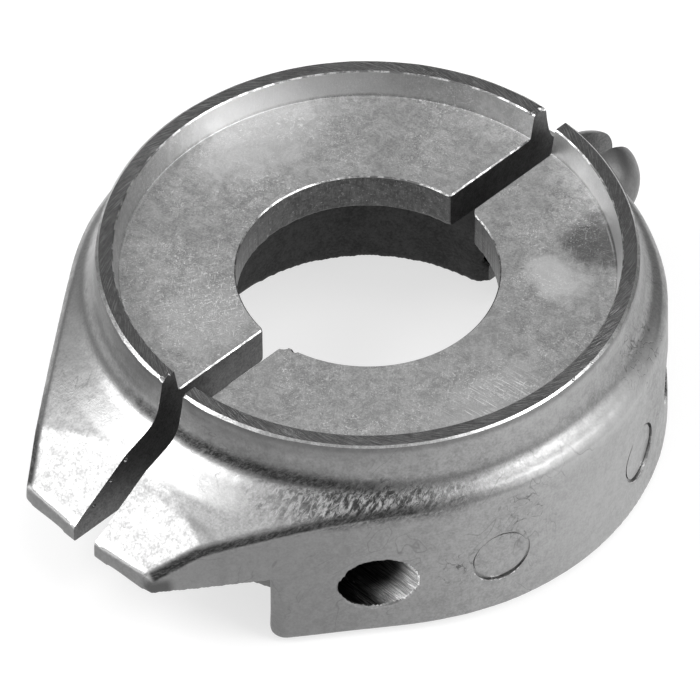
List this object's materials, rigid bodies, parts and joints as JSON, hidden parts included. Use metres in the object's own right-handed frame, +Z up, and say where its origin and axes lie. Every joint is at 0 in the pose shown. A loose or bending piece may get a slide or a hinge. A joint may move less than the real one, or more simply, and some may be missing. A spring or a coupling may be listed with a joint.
{
  "type": "sacrificial anode",
  "caption": "Split collar anode for a saildrive leg: a cast ring with a dished top, a stepped shoulder, a pointed fin and a rounded nose, clamped round a shaft housing by screws.",
  "frame": {"origin": "on the axis of the bore, at the floor of the dish, which is the flange's upper face", "axes": "+Z up along the ring's axis, towards the rim; -Y to the point of the fin, +Y to the nose; +X to the half whose side the screws enter; the slit lies in the plane X = 0"},
  "size_m": [0.1356, 0.1709, 0.0515],
  "materials": {
    "cast_alloy": "bare die-cast metal, satin, with a turned rim and a lightly brushed dish"
  },
  "bodies": {
    "root": {"screw_side_half": "cast_alloy", "tapped_side_half": "cast_alloy"}
  },
  "joints": []
}
